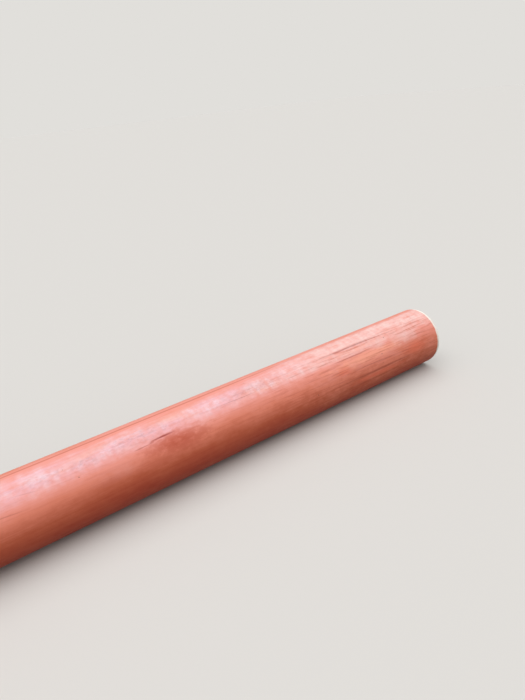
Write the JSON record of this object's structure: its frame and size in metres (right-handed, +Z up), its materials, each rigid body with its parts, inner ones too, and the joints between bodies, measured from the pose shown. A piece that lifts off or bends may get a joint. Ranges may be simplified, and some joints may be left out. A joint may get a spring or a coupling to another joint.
{
  "type": "pvc pipe",
  "caption": "Orange-brown PVC-U sewer pipe with a chamfered spigot, and a formed socket that holds a rubber lip ring in its bead.",
  "frame": {"origin": "under the middle of the pipe's length, on the level of the lowest point of the socket's bead", "axes": "+X along the pipe's axis, out of the spigot; +Z up as it lies"},
  "size_m": [3.101, 0.2248, 0.2248],
  "materials": {
    "pvc_orange_brown": "extruded, weathered: bleached and chalky on top",
    "rubber": "moulded, matt black"
  },
  "bodies": {
    "root": {"pipe": "pvc_orange_brown", "seal_ring": "rubber"}
  },
  "joints": []
}
